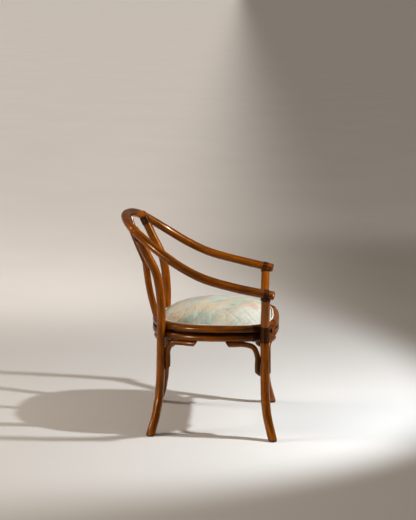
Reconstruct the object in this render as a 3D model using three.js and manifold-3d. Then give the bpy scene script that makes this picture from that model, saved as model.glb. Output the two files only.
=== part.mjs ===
// Bent rattan armchair with a round seat pad.
// Millimetres. The chair faces -Y, +Z is up, and the floor under its middle is the origin.
import * as THREE from 'three';
import { mergeVertices } from 'three/addons/utils/BufferGeometryUtils.js';
import Module from 'manifold-3d';

const wasm = await Module();
wasm.setup();

// Poles, as diameters
const hoopDiameter = 32;
const frontPostDiameter = 33;
const rearPostDiameter = 32;
const ringDiameter = 28;
const braceDiameter = 20;
const trunkDiameter = 26;
const branchDiameter = 14;
const fillerDiameter = 8;

// Arm hoop: plan outline of its centre line
const hoopHalfWidth = 272;
const hoopWidestReach = 142;
const hoopBackDepth = 427;
const hoopFrontDepth = 277;
const hoopTipOverhang = 31;
const hoopSquareness = 2.9;
// Arm hoop: height of its centre line above the floor, at the tips and at the back
const hoopTipHeight = 547;
const hoopCrownHeight = 789;
// The hoop's rise, at shares of its length from its widest place to its back
const hoopBackShares = [0, 0.285, 0.478, 0.653, 0.787, 0.913];
const hoopRiseShares = [0.11, 0.242, 0.401, 0.593, 0.756, 0.909];

// Seat rings: plan outline of the centre line
const ringHalfWidth = 208;
const ringWidestReach = 130;
const ringFrontDepth = 157;
const ringBackDepth = 294;
// How round each half of the outline is: 1 is an ellipse, and a smaller share is squarer
const ringFrontRoundShare = 0.6667;
const ringBackRoundShare = 0.8;
const upperRingHeight = 406;
const ringStackGap = 4;
const seatTiltDegrees = 1.7;
const spliceGap = 0.6;

// Posts and legs
const frontPostInset = 41;
const frontFootSpread = 43;
const frontFootSplay = 39;
const rearPostInset = 27.5;
const rearFootSpread = 69.7;
const rearFootSplay = 31;
const rearTopInset = 49;
// The rear post's lean between the ring and the hoop: how far back it is at shares of its height
const rearRiseShares = [0.226, 0.559, 0.756];
const rearRakeShares = [0.007, 0.198, 0.548];
const footCapHeight = 6;
const footCapDiameter = 31;
const footCapFlare = 2;
// How much of a leg's splay is left at shares of the height from the floor to the seat ring
const legHeightShares = [0, 0.135, 0.22, 0.315, 0.41, 0.55, 0.8];
const frontLeanShares = [1, 0.63, 0.42, 0.28, 0.185, 0.12, 0.045];
const rearLeanShares = [1, 0.53, 0.33, 0.145, 0.07, 0.01, 0];

// Back splat
const trunkTopDrop = 177;
const trunkTopInset = 76;
const trunkBow = 5.5;
const branchTopHalfWidth = 68;
const branchRootDrop = 27;
const branchRootRetreat = 7;
// A branch's knee, as shares of its way from the trunk to the hoop
const branchKneeRiseShare = 0.468;
const branchKneeRakeShare = 0.463;
const branchKneeSpreadShare = 0.655;
const branchStraightShare = 0.45;
const branchBiteShare = 0.6;

// Braces under the seat
const braceRun = 118;
const braceBend = 40;
const braceDrop = 163;
const braceEndRun = 96;
const braceBevelDegrees = 35;
const braceFootDrop = 8;
// How far round its post a brace stands towards the run, as a share of the touching distance
const frontBraceAlongShare = 0.87;
const rearBraceAlongShare = 0.72;
// The brace's bend: its end and its corner as shares of the bend's length, and its pull to the corner
const bendEndShare = 1.6;
const bendCornerShare = 0.75;
const bendCornerDriftShare = 0.35;
const bendPullShare = 0.56;
// Where a brace lies straight, is cut and would end, as shares of its run
const braceStraightShare = 0.8;
const braceCutShare = 0.96;
const braceOverrunShare = 1.12;

// Seat board, rails and screws
const boardThickness = 9;
const boardEdgeClearance = 2;
const railWidth = 34;
const railHeight = 16;
const railSpacing = 180;
const railMiddleReach = 60;
const railEndInset = 12;
const screwHeadDiameter = 9;
const screwHeadHeight = 3;
const screwShankDiameter = 4;
const screwLength = 20;
const screwInset = 110;

// Seat pad
const padInset = 12;
const padCrown = 54;
const padBackClearance = 7;
const padSideShare = 0.34;
const padSideSquareness = 0.72;
const padTopSquareness = 1.12;
const padWaist = 5;
const weltDiameter = 5;
const weltInset = 10.5;
const padRestHeight = 9.4;

// Bindings
const bindingThickness = 2.4;
const armBindingWidth = 20;
const armBindingDrop = 6;
const hoopBindingWidth = 11;
const hoopBindingDrop = 17;
const seatBindingOverlap = 3;
const seatBindingReach = 10;

// Fits
const seatingGap = 0.3;
const cutOverrun = 4;

// Facets
const poleSides = 14;
const thinPoleSides = 10;

const rattanMaterial = new THREE.MeshStandardMaterial({
  name: 'rattan', color: 0x8f5208, roughness: 0.32, metalness: 0,
});
const bindingMaterial = new THREE.MeshStandardMaterial({
  name: 'binding', color: 0x3a1410, roughness: 0.5, metalness: 0,
});
const fabricMaterial = new THREE.MeshStandardMaterial({
  name: 'seat_fabric', color: 0xd9d8c4, roughness: 0.9, metalness: 0,
});
const weltMaterial = new THREE.MeshStandardMaterial({
  name: 'piping', color: 0xe8dcc6, roughness: 0.85, metalness: 0,
});
const boardMaterial = new THREE.MeshStandardMaterial({
  name: 'plywood', color: 0xc09a66, roughness: 0.7, metalness: 0,
});
const capMaterial = new THREE.MeshStandardMaterial({
  name: 'foot_cap', color: 0x241a14, roughness: 0.6, metalness: 0,
});
const steelMaterial = new THREE.MeshStandardMaterial({
  name: 'steel', color: 0xb0b0ac, roughness: 0.35, metalness: 1,
});

const chair = new THREE.Group();
chair.name = 'rattan_armchair';
const sides = [['left', 1], ['right', -1]];
const vec = (x, y, z) => new THREE.Vector3(x, y, z);

// Shapes that every piece uses

function toSolid(geometry) {
  const bare = geometry.clone();
  bare.deleteAttribute('normal');
  bare.deleteAttribute('uv');
  const merged = mergeVertices(bare);
  return new wasm.Manifold(new wasm.Mesh({
    numProp: 3,
    vertProperties: new Float32Array(merged.attributes.position.array),
    triVerts: new Uint32Array(merged.index.array),
  }));
}

function toGeometry(solid) {
  const mesh = solid.getMesh();
  const geometry = new THREE.BufferGeometry();
  geometry.setAttribute('position', new THREE.BufferAttribute(mesh.vertProperties, 3));
  geometry.setIndex(new THREE.BufferAttribute(mesh.triVerts, 1));
  geometry.computeVertexNormals();
  return geometry;
}

function addPiece(name, solid, material) {
  const mesh = new THREE.Mesh(toGeometry(solid), material);
  mesh.name = name;
  chair.add(mesh);
  return solid;
}

function smoothPath(points) {
  return new THREE.CatmullRomCurve3(points, false, 'centripetal');
}

function poleGeometry(path, diameter, steps, around) {
  const section = new THREE.Shape();
  section.absarc(0, 0, diameter / 2, 0, 2 * Math.PI);
  return new THREE.ExtrudeGeometry(section, {
    steps, extrudePath: path, bevelEnabled: false, curveSegments: around / 2,
  });
}

function pole(path, diameter, steps, around = poleSides) {
  return toSolid(poleGeometry(path, diameter, steps, around));
}

// The same pole, bigger by the seating gap all round: what is cut from its neighbours
function clearOf(path, diameter, steps, around = poleSides) {
  return pole(path, diameter + 2 * seatingGap, steps, around);
}

function subPath(path, from, to, count) {
  const points = [];
  for (let i = 0; i <= count; i += 1) {
    points.push(path.getPointAt(from + (to - from) * i / count));
  }
  return smoothPath(points);
}

// The share of a path's length at which a measure of its points comes nearest to zero
function shareWhere(path, measure, from, to) {
  const tryCount = 400;
  let best = from;
  let least = Infinity;
  for (let i = 0; i <= tryCount; i += 1) {
    const share = from + (to - from) * i / tryCount;
    const miss = Math.abs(measure(path.getPointAt(share), share));
    if (miss < least) {
      least = miss;
      best = share;
    }
  }
  return best;
}

// Arm hoop

function hoopHalfWidthAt(y) {
  const depth = y < -hoopWidestReach ? hoopFrontDepth : hoopBackDepth;
  const share = Math.min(Math.abs(y + hoopWidestReach) / depth, 1);
  return hoopHalfWidth * (1 - share ** hoopSquareness) ** (1 / hoopSquareness);
}

const frontPostReach = ringFrontDepth + ringWidestReach - frontPostInset;
const rearPostReach = ringBackDepth - ringWidestReach - rearPostInset;
const hoopBackReach = hoopBackDepth - hoopWidestReach;
const rearTopReach = hoopBackReach - rearTopInset;

function hoopStations() {
  const tip = [-frontPostReach - hoopTipOverhang, hoopTipHeight];
  return [tip, ...hoopBackShares.map((share, i) => [
    -hoopWidestReach + share * hoopBackDepth,
    hoopTipHeight + hoopRiseShares[i] * (hoopCrownHeight - hoopTipHeight),
  ])];
}

function makeHoopPath() {
  const right = hoopStations().map(([y, z]) => vec(-hoopHalfWidthAt(y), y, z));
  const left = hoopStations().map(([y, z]) => vec(hoopHalfWidthAt(y), y, z)).reverse();
  const crown = vec(0, hoopBackReach, hoopCrownHeight);
  return smoothPath([...right, crown, ...left]);
}

const hoopPath = makeHoopPath();
const hoopSteps = 50;
const hoopClear = clearOf(hoopPath, hoopDiameter, hoopSteps);

function hoopShareAtReach(y) {
  return shareWhere(hoopPath, (point) => point.y - y, 0.5, 1);
}

// A point of the hoop's centre line, on the side of the given sign
function hoopPointAtReach(y, sign) {
  const point = hoopPath.getPointAt(hoopShareAtReach(y));
  return vec(sign * Math.abs(point.x), point.y, point.z);
}

// Seat rings

const tiltSlope = Math.tan(THREE.MathUtils.degToRad(seatTiltDegrees));
const ringRadius = ringDiameter / 2;
const lowerRingHeight = upperRingHeight - ringDiameter - ringStackGap;

function seatPoint(x, y, height) {
  return vec(x, y, height - (y + ringWidestReach) * tiltSlope);
}

// Plan outline of the seat, moved inwards by an inset
function seatOutline(inset, height, count, backInset = inset) {
  const points = [];
  for (let i = 0; i < count; i += 1) {
    const angle = Math.PI / 2 + 2 * Math.PI * i / count;
    const back = Math.sin(angle) > 0;
    const depth = back ? ringBackDepth - backInset : ringFrontDepth - inset;
    const power = back ? ringBackRoundShare : ringFrontRoundShare;
    const across = Math.sign(Math.cos(angle)) * Math.abs(Math.cos(angle)) ** power;
    const along = Math.sign(Math.sin(angle)) * Math.abs(Math.sin(angle)) ** power;
    const y = depth * along - ringWidestReach;
    points.push(seatPoint((ringHalfWidth - inset) * across, y, height));
  }
  return points;
}

const outlineCount = 48;

function ringLoop(inset, height, backInset = inset) {
  const outline = seatOutline(inset, height, outlineCount, backInset);
  return new THREE.CatmullRomCurve3(outline, true, 'centripetal');
}

// A loop as one bent pole, whose two ends meet at the middle of the back
function splicedLoop(inset, height, backInset = inset) {
  const loop = ringLoop(inset, height, backInset);
  const half = spliceGap / 2 / loop.getLength();
  return subPath(loop, half, 1 - half, outlineCount);
}

const upperRingPath = splicedLoop(0, upperRingHeight);
const lowerRingPath = splicedLoop(0, lowerRingHeight);
const ringSteps = 46;
const ringSides = 12;
const upperRingClear = clearOf(upperRingPath, ringDiameter, ringSteps, ringSides);
const lowerRingClear = clearOf(lowerRingPath, ringDiameter, ringSteps, ringSides);

// The filler cane lies in the groove between the two rings, on their outer side, and touches both
function fillerPath() {
  const away = (ringDiameter + fillerDiameter) / 2 + seatingGap;
  const rise = (upperRingHeight - lowerRingHeight) / 2;
  return splicedLoop(-Math.sqrt(away ** 2 - rise ** 2), lowerRingHeight + rise);
}

const fillerClear = clearOf(fillerPath(), fillerDiameter, ringSteps, thinPoleSides);

// The outward direction of the seat outline at a share of its length, in plan
function ringOutward(share) {
  const tangent = upperRingPath.getTangentAt(share);
  const outward = vec(-tangent.y, tangent.x, 0).normalize();
  const point = upperRingPath.getPointAt(share);
  const middle = vec(0, -ringWidestReach, 0);
  return outward.dot(point.clone().sub(middle)) > 0 ? outward : outward.negate();
}

// Where a post stands against the rings, on the left side
function postAgainstRing(reach, diameter, from, to) {
  const away = ringRadius + diameter / 2;
  const share = shareWhere(
    upperRingPath,
    (point, at) => point.y + ringOutward(at).y * away - reach,
    from,
    to,
  );
  const post = upperRingPath.getPointAt(share).add(ringOutward(share).multiplyScalar(away));
  return { share, post, outward: ringOutward(share) };
}

// The outline runs from the middle of the back round the right side, the front and the left side
const frontStand = postAgainstRing(-frontPostReach, frontPostDiameter, 0.5, 0.75);
const rearStand = postAgainstRing(rearPostReach, rearPostDiameter, 0.75, 1);

// Posts and legs

function legPoints(stand, spread, splay, leanShares, sign) {
  const points = [vec(
    sign * (stand.post.x + spread),
    stand.post.y + splay,
    -footCapDiameter / 2,
  )];
  legHeightShares.forEach((heightShare, i) => {
    points.push(vec(
      sign * (stand.post.x + spread * leanShares[i]),
      stand.post.y + splay * leanShares[i],
      stand.post.z * heightShare,
    ));
  });
  points.push(vec(sign * stand.post.x, stand.post.y, stand.post.z));
  return points;
}

function frontLegPath(sign) {
  const points = legPoints(frontStand, frontFootSpread, -frontFootSplay, frontLeanShares, sign);
  const top = hoopPointAtReach(-frontPostReach, sign);
  points.push(vec(top.x, top.y, top.z - frontPostDiameter / 6));
  return smoothPath(points);
}

function rearLegPath(sign) {
  const points = legPoints(rearStand, rearFootSpread, rearFootSplay, rearLeanShares, sign);
  const top = hoopPointAtReach(rearTopReach, sign);
  const foot = vec(sign * rearStand.post.x, rearStand.post.y, rearStand.post.z);
  rearRiseShares.forEach((rise, i) => {
    const point = foot.clone().lerp(top, rise);
    point.y = foot.y + (top.y - foot.y) * rearRakeShares[i];
    points.push(point);
  });
  points.push(vec(top.x, top.y - rearPostDiameter / 8, top.z - rearPostDiameter / 6));
  return smoothPath(points);
}

const frontLegSteps = 22;
const rearLegSteps = 28;
const legs = {};
for (const [side, sign] of sides) {
  legs[side] = {
    sign,
    front: frontLegPath(sign),
    rear: rearLegPath(sign),
  };
}

function addLegs() {
  for (const [side] of sides) {
    for (const [place, diameter, steps] of [
      ['front', frontPostDiameter, frontLegSteps],
      ['rear', rearPostDiameter, rearLegSteps],
    ]) {
      const whole = pole(legs[side][place], diameter, steps);
      const standing = whole.trimByPlane([0, 0, 1], footCapHeight + seatingGap);
      addPiece(`${place}_leg_${side}`, standing.subtract(hoopClear), rattanMaterial);
      addFootCap(`foot_cap_${place}_${side}`, legs[side][place]);
    }
  }
}

function addFootCap(name, path) {
  const share = shareWhere(path, (point) => point.z, 0, 0.2);
  const foot = path.getPointAt(share);
  const outline = [
    new THREE.Vector2(0, 0),
    new THREE.Vector2(footCapDiameter / 2 - footCapFlare, 0),
    new THREE.Vector2(footCapDiameter / 2, footCapFlare),
    new THREE.Vector2(footCapDiameter / 2, footCapHeight),
    new THREE.Vector2(0, footCapHeight),
  ];
  const cap = new THREE.LatheGeometry(outline, poleSides);
  cap.rotateX(Math.PI / 2);
  cap.translate(foot.x, foot.y, 0);
  addPiece(name, toSolid(cap), capMaterial);
}

function legClear(side, place) {
  const diameter = place === 'front' ? frontPostDiameter : rearPostDiameter;
  const steps = place === 'front' ? frontLegSteps : rearLegSteps;
  return clearOf(legs[side][place], diameter, steps);
}

const legClears = wasm.Manifold.union([
  legClear('left', 'front'), legClear('right', 'front'),
  legClear('left', 'rear'), legClear('right', 'rear'),
]);

// Back splat

const trunkTopHeight = hoopCrownHeight - trunkTopDrop;
const trunkTopReach = hoopBackReach - trunkTopInset;

function trunkPath() {
  const foot = upperRingPath.getPointAt(0);
  const top = vec(0, trunkTopReach, trunkTopHeight);
  const middle = foot.clone().lerp(top, 0.5);
  middle.y += trunkBow;
  return smoothPath([foot, middle, top]);
}

function branchPath(sign) {
  const under = hoopDiameter / 2 * branchBiteShare;
  const top = vec(sign * branchTopHalfWidth, hoopBackReach - under, hoopCrownHeight - under);
  const root = vec(
    sign * (trunkDiameter + branchDiameter) / 4,
    trunkTopReach - branchRootRetreat,
    trunkTopHeight - branchRootDrop,
  );
  const knee = vec(
    root.x + (top.x - root.x) * branchKneeSpreadShare,
    root.y + (top.y - root.y) * branchKneeRakeShare,
    root.z + (top.z - root.z) * branchKneeRiseShare,
  );
  return smoothPath([root, root.clone().lerp(knee, branchStraightShare), knee, top]);
}

// What the trunk's foot is cut from: the ring's joint, bridged so that nothing stands in its gap
function jointClear() {
  const loop = ringLoop(0, upperRingHeight);
  const span = trunkDiameter / loop.getLength();
  const points = [1 - span, 1 - span / 2, 0, span / 2, span].map((share) => loop.getPointAt(share));
  return clearOf(smoothPath(points), ringDiameter, jointSteps, ringSides);
}

const trunkSteps = 14;
const branchSteps = 16;
const jointSteps = 4;

function addSplat() {
  const branchesClear = wasm.Manifold.union(
    clearOf(branchPath(1), branchDiameter, branchSteps, thinPoleSides),
    clearOf(branchPath(-1), branchDiameter, branchSteps, thinPoleSides),
  );
  const trunk = pole(trunkPath(), trunkDiameter, trunkSteps)
    .subtract(upperRingClear)
    .subtract(jointClear())
    .subtract(branchesClear);
  addPiece('back_trunk', trunk, rattanMaterial);
  for (const [side, sign] of sides) {
    const branch = pole(branchPath(sign), branchDiameter, branchSteps, thinPoleSides)
      .subtract(hoopClear);
    const inner = branch.trimByPlane([sign, 0, 0], seatingGap / 2);
    addPiece(`back_branch_${side}`, inner, rattanMaterial);
  }
}

// Braces under the seat

const braceFootHeight = upperRingHeight - braceDrop;

// A brace stands against a post, bends, and runs along under the lower ring
function bracePath(side, place, along, run) {
  const sign = legs[side].sign;
  const stand = place === 'front' ? frontStand : rearStand;
  const postDiameter = place === 'front' ? frontPostDiameter : rearPostDiameter;
  const away = (postDiameter + braceDiameter) / 2 + seatingGap;
  const tangent = vec(-stand.outward.y, stand.outward.x, 0);
  if (tangent.y * along < 0) tangent.negate();
  const alongShare = place === 'front' ? frontBraceAlongShare : rearBraceAlongShare;
  const lean = tangent.clone().multiplyScalar(alongShare)
    .addScaledVector(stand.outward, -Math.sqrt(1 - alongShare ** 2));
  const path = legs[side][place];
  const underRing = lowerRingHeight - ringRadius - braceDiameter / 2 - seatingGap;
  const beside = (height) => {
    const share = shareWhere(path, (point) => point.z - height, 0, 0.9);
    const post = path.getPointAt(share);
    return vec(post.x + sign * lean.x * away, post.y + lean.y * away, height);
  };
  const step = run / lowerRingPath.getLength();
  const direction = ringStepTowards(stand.share, along);
  const onRing = (distanceShare) => {
    const share = stand.share + direction * step * distanceShare;
    const folded = share > 1 ? 2 - share : share;
    const point = lowerRingPath.getPointAt(folded);
    const flip = share > 1 ? -sign : sign;
    return vec(flip * Math.abs(point.x), point.y, point.z - lowerRingHeight + underRing);
  };
  const bendTop = onRing(braceBend * bendEndShare / run);
  const bendFoot = beside(underRing - braceBend);
  const corner = beside(underRing)
    .lerp(onRing(braceBend * bendCornerShare / run), bendCornerDriftShare);
  const bend = bendFoot.clone().lerp(bendTop, 0.5).lerp(corner, bendPullShare);
  return smoothPath([
    beside(braceFootHeight - braceFootDrop),
    beside((braceFootHeight + underRing - braceBend) / 2),
    bendFoot,
    bend,
    bendTop,
    onRing(braceStraightShare),
    onRing(braceOverrunShare),
  ]);
}

// Which way along the left side's outline a brace runs: towards the side's middle or the seat's end
function ringStepTowards(share, along) {
  const ahead = upperRingPath.getPointAt(Math.min(share + 0.02, 1));
  const here = upperRingPath.getPointAt(share);
  return Math.sign((ahead.y - here.y) * along);
}

const braceSteps = 14;

function addBrace(name, side, place, along, run) {
  const path = bracePath(side, place, along, run);
  const slant = Math.tan(THREE.MathUtils.degToRad(braceBevelDegrees));
  const end = path.getPointAt(braceCutShare);
  const tangent = path.getTangentAt(braceCutShare);
  const cut = tangent.clone().multiplyScalar(-1).add(vec(0, 0, slant)).normalize();
  const foot = path.getPointAt(0);
  const post = legs[side][place].getPointAt(
    shareWhere(legs[side][place], (point) => point.z - foot.z, 0, 0.9),
  );
  const awayFromPost = vec(foot.x - post.x, foot.y - post.y, 0).normalize();
  const footCut = vec(0, 0, 1).addScaledVector(awayFromPost, -slant).normalize();
  foot.z = braceFootHeight;
  let brace = pole(path, braceDiameter, braceSteps, thinPoleSides);
  brace = brace.trimByPlane(cut.toArray(), cut.dot(end));
  brace = brace.trimByPlane(footCut.toArray(), footCut.dot(foot));
  brace = brace.subtract(legClears).subtract(lowerRingClear);
  addPiece(name, brace, rattanMaterial);
}

function addBraces() {
  for (const [side] of sides) {
    addBrace(`brace_front_side_${side}`, side, 'front', 1, braceRun);
    addBrace(`brace_rear_side_${side}`, side, 'rear', -1, braceRun);
    addBrace(`brace_front_${side}`, side, 'front', -1, braceEndRun);
    addBrace(`brace_back_${side}`, side, 'rear', 1, braceEndRun);
  }
}

// Seat board, rails and screws

function seatPlate(inset, bottom, thickness, count) {
  const outline = new THREE.Shape();
  seatOutline(inset, 0, count).forEach((point, i) => {
    if (i === 0) outline.moveTo(point.x, point.y);
    else outline.lineTo(point.x, point.y);
  });
  const plate = new THREE.ExtrudeGeometry(outline, { depth: thickness, bevelEnabled: false });
  return toSolid(tilted(plate, bottom));
}

function tilted(geometry, height) {
  const place = geometry.attributes.position;
  for (let i = 0; i < place.count; i += 1) {
    place.setZ(i, place.getZ(i) + height - (place.getY(i) + ringWidestReach) * tiltSlope);
  }
  return geometry;
}

function screwSpots() {
  const spots = [];
  for (const y of [-railSpacing / 2, railSpacing / 2]) {
    for (const x of [-screwInset, screwInset]) spots.push([x, y - railMiddleReach]);
  }
  return spots;
}

function screwSolid(x, y, swell) {
  const overrun = swell > 0 ? cutOverrun : 0;
  const outline = [
    new THREE.Vector2(0, -screwLength - swell),
    new THREE.Vector2(screwShankDiameter / 2 + swell, -screwLength - swell),
    new THREE.Vector2(screwShankDiameter / 2 + swell, -screwHeadHeight),
    new THREE.Vector2(screwHeadDiameter / 2 + swell, 0),
    new THREE.Vector2(screwHeadDiameter / 2 + swell, overrun),
    new THREE.Vector2(0, overrun),
  ];
  const flat = outline.filter((point, i) => i === 0 || !point.equals(outline[i - 1]));
  const screw = new THREE.LatheGeometry(flat, thinPoleSides);
  screw.rotateX(Math.PI / 2);
  const top = seatPoint(x, y, upperRingHeight + boardThickness - seatingGap);
  screw.translate(x, y, top.z);
  return toSolid(screw);
}

function addSeatBoard() {
  const spots = screwSpots();
  const holes = wasm.Manifold.union(spots.map(([x, y]) => screwSolid(x, y, seatingGap)));
  const boardInset = ringRadius + boardEdgeClearance;
  const board = seatPlate(boardInset, upperRingHeight, boardThickness, outlineCount);
  addPiece('seat_board', board.subtract(holes).subtract(upperRingClear), boardMaterial);
  let number = 0;
  const railRoom = seatPlate(railEndInset, upperRingHeight - 2 * railHeight, 2 * railHeight, outlineCount);
  for (const y of [-railSpacing / 2, railSpacing / 2]) {
    const rail = new THREE.BoxGeometry(2 * ringHalfWidth, railWidth, railHeight);
    rail.translate(0, y - railMiddleReach, -railHeight / 2 - seatingGap);
    const solid = toSolid(tilted(rail, upperRingHeight))
      .intersect(railRoom)
      .subtract(upperRingClear)
      .subtract(lowerRingClear)
      .subtract(holes);
    addPiece(y < 0 ? 'seat_rail_front' : 'seat_rail_rear', solid, boardMaterial);
  }
  for (const [x, y] of spots) {
    number += 1;
    addPiece(`board_screw_${number}`, screwSolid(x, y, 0), steelMaterial);
  }
}

// Seat pad

// A domed pad: the sides draw in a little above the piping, then round over to the crown
function padSurface(around, up) {
  const rings = [];
  const levels = [];
  for (let j = 0; j <= up; j += 1) {
    const turn = Math.PI / 2 * j / up;
    const side = Math.min(j / (up * padSideShare), 1);
    const waist = padWaist * Math.sin(Math.PI * side) * (side < 1 ? 1 : 0);
    levels.push([
      Math.cos(turn) ** padSideSquareness,
      padCrown * Math.sin(turn) ** padTopSquareness,
      waist,
    ]);
  }
  for (const [scale, height, waist] of levels) {
    const inset = padInset + waist;
    const level = upperRingHeight + padRestHeight + height;
    rings.push(seatOutline(inset, level, around, inset + padBackClearance)
      .map((point) => vec(
        point.x * scale,
        (point.y + padMiddleReach) * scale - padMiddleReach,
        point.z + (point.y + padMiddleReach) * (1 - scale) * tiltSlope,
      )));
  }
  return rings;
}

const padMiddleReach = ringWidestReach - (ringBackDepth - ringFrontDepth) / 2;

function skinOf(rings) {
  const around = rings[0].length;
  const points = rings.flat();
  const faces = [];
  for (let j = 0; j + 1 < rings.length; j += 1) {
    for (let i = 0; i < around; i += 1) {
      const a = j * around + i;
      const b = j * around + (i + 1) % around;
      faces.push(a, b, a + around, b, b + around, a + around);
    }
  }
  const low = points.length;
  const high = low + 1;
  const middleOf = (ring) => ring.reduce((sum, p) => sum.add(p), vec(0, 0, 0)).divideScalar(around);
  points.push(middleOf(rings[0]), middleOf(rings[rings.length - 1]));
  const last = (rings.length - 1) * around;
  for (let i = 0; i < around; i += 1) {
    const next = (i + 1) % around;
    faces.push(low, next, i);
    faces.push(high, last + i, last + next);
  }
  const geometry = new THREE.BufferGeometry().setFromPoints(points);
  geometry.setIndex(faces);
  return geometry;
}

function addPad() {
  const around = outlineCount;
  const rings = padSurface(around, 12).slice(0, -1);
  const weltPath = splicedLoop(
    weltInset,
    upperRingHeight + weltHeightOnRing(),
    weltInset + padBackClearance,
  );
  const weltClear = clearOf(weltPath, weltDiameter, around, 6);
  const skin = toSolid(skinOf(rings));
  const bindings = seatBindingShell('left', seatingGap).add(seatBindingShell('right', seatingGap));
  const pad = skin.subtract(upperRingClear).subtract(weltClear).subtract(bindings);
  addPiece('seat_pad', largestBody(pad), fabricMaterial);
  const welt = pole(weltPath, weltDiameter, around, 6).subtract(upperRingClear).subtract(bindings);
  addPiece('seat_piping', welt, weltMaterial);
}

// The piping lies on the inner shoulder of the upper ring
function weltHeightOnRing() {
  const away = ringRadius + weltDiameter / 2 + seatingGap;
  return Math.sqrt(away ** 2 - weltInset ** 2);
}

function largestBody(solid) {
  const bodies = solid.decompose();
  return bodies.reduce((best, body) => (body.volume() > best.volume() ? body : best), bodies[0]);
}

// Bindings

function sleeve(path, middle, width, diameter, around = ringSides) {
  const half = width / 2 / path.getLength();
  const from = Math.max(middle - half, 0);
  const to = Math.min(middle + half, 1);
  return pole(subPath(path, from, to, 4), diameter + 2 * bindingThickness, 4, around);
}

function addArmBindings() {
  for (const [side, sign] of sides) {
    const left = hoopShareAtReach(-frontPostReach);
    const share = sign > 0 ? left : 1 - left;
    const post = legs[side].front;
    const drop = (hoopDiameter / 2 + armBindingDrop) / post.getLength();
    const shell = sleeve(hoopPath, share, armBindingWidth, hoopDiameter)
      .add(sleeve(post, 1 - drop / 2, hoopDiameter / 2 + armBindingDrop, frontPostDiameter));
    const binding = shell.subtract(hoopClear).subtract(legClears);
    addPiece(`binding_arm_${side}`, largestBody(binding), bindingMaterial);
  }
}

function addHoopBindings() {
  for (const [side, sign] of sides) {
    const left = hoopShareAtReach(rearTopReach);
    const share = sign > 0 ? left : 1 - left;
    const post = legs[side].rear;
    const drop = (hoopDiameter / 2 + hoopBindingDrop) / post.getLength();
    const shell = sleeve(hoopPath, share, hoopBindingWidth, hoopDiameter)
      .add(sleeve(post, 1 - drop / 2, hoopDiameter / 2 + hoopBindingDrop, rearPostDiameter));
    const binding = shell.subtract(hoopClear).subtract(legClears);
    addPiece(`binding_hoop_${side}`, largestBody(binding), bindingMaterial);
  }
}

// The space that a binding takes round a front post and both rings
function seatBindingShell(side, swell) {
  const { front: post, sign } = legs[side];
  const stack = 2 * ringDiameter + ringStackGap + 2 * seatBindingOverlap;
  const height = frontStand.post.z - (ringDiameter + ringStackGap) / 2;
  const share = shareWhere(post, (point) => point.z - height, 0, 1);
  const ringShare = sign > 0 ? frontStand.share : 1 - frontStand.share;
  const reach = frontPostDiameter + 2 * (seatBindingReach + swell);
  return sleeve(post, share, stack + 2 * swell, frontPostDiameter + 2 * swell)
    .add(sleeve(upperRingPath, ringShare, reach, ringDiameter + 2 * swell))
    .add(sleeve(lowerRingPath, ringShare, reach, ringDiameter + 2 * swell));
}

function addSeatBindings() {
  for (const [side] of sides) {
    const wound = seatBindingShell(side, 0)
      .subtract(legClears)
      .subtract(upperRingClear)
      .subtract(lowerRingClear)
      .subtract(fillerClear);
    addPiece(`binding_seat_${side}`, largestBody(wound), bindingMaterial);
  }
}

addPiece('arm_hoop', pole(hoopPath, hoopDiameter, hoopSteps), rattanMaterial);
addLegs();
for (const [level, path] of [['upper', upperRingPath], ['lower', lowerRingPath]]) {
  const ring = pole(path, ringDiameter, ringSteps, ringSides).subtract(legClears);
  addPiece(`seat_ring_${level}`, ring, rattanMaterial);
}
const filler = pole(fillerPath(), fillerDiameter, ringSteps, thinPoleSides).subtract(legClears);
addPiece('ring_filler', filler, rattanMaterial);
addSplat();
addBraces();
addSeatBoard();
addPad();
addArmBindings();
addHoopBindings();
addSeatBindings();

export default chair;
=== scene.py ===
"""A bent-rattan armchair with a round seat pad: its finished surfaces, in metres, over the CAD frame."""

import bpy
import numpy as np
from mathutils import Matrix


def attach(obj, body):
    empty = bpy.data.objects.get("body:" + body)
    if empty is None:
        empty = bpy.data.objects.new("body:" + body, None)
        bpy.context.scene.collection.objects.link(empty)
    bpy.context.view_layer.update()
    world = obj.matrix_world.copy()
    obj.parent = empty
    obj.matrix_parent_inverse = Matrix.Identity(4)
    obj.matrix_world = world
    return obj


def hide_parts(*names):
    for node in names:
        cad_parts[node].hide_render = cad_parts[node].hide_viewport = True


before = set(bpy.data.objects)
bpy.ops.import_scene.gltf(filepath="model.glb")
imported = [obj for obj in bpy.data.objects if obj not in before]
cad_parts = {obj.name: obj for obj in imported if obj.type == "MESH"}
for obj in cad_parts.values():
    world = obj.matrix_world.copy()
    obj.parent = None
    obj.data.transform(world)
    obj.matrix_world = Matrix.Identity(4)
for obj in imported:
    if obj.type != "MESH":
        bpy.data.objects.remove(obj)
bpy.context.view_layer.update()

# The gap between pieces that rest on each other, as in the CAD
seating_gap = 0.0003
hoop_diameter, front_diameter, rear_diameter = 0.032, 0.033, 0.032


# Seat rings. Two hoops of Ø28 rattan, steamed, bent round a form and laid one over the other.
# The ends of each meet in a butt joint at the middle of the back. They carry the seat, every post
# is nailed to them, and a thin cane closes the groove between them; its near-black colour is painted shade.

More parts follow.
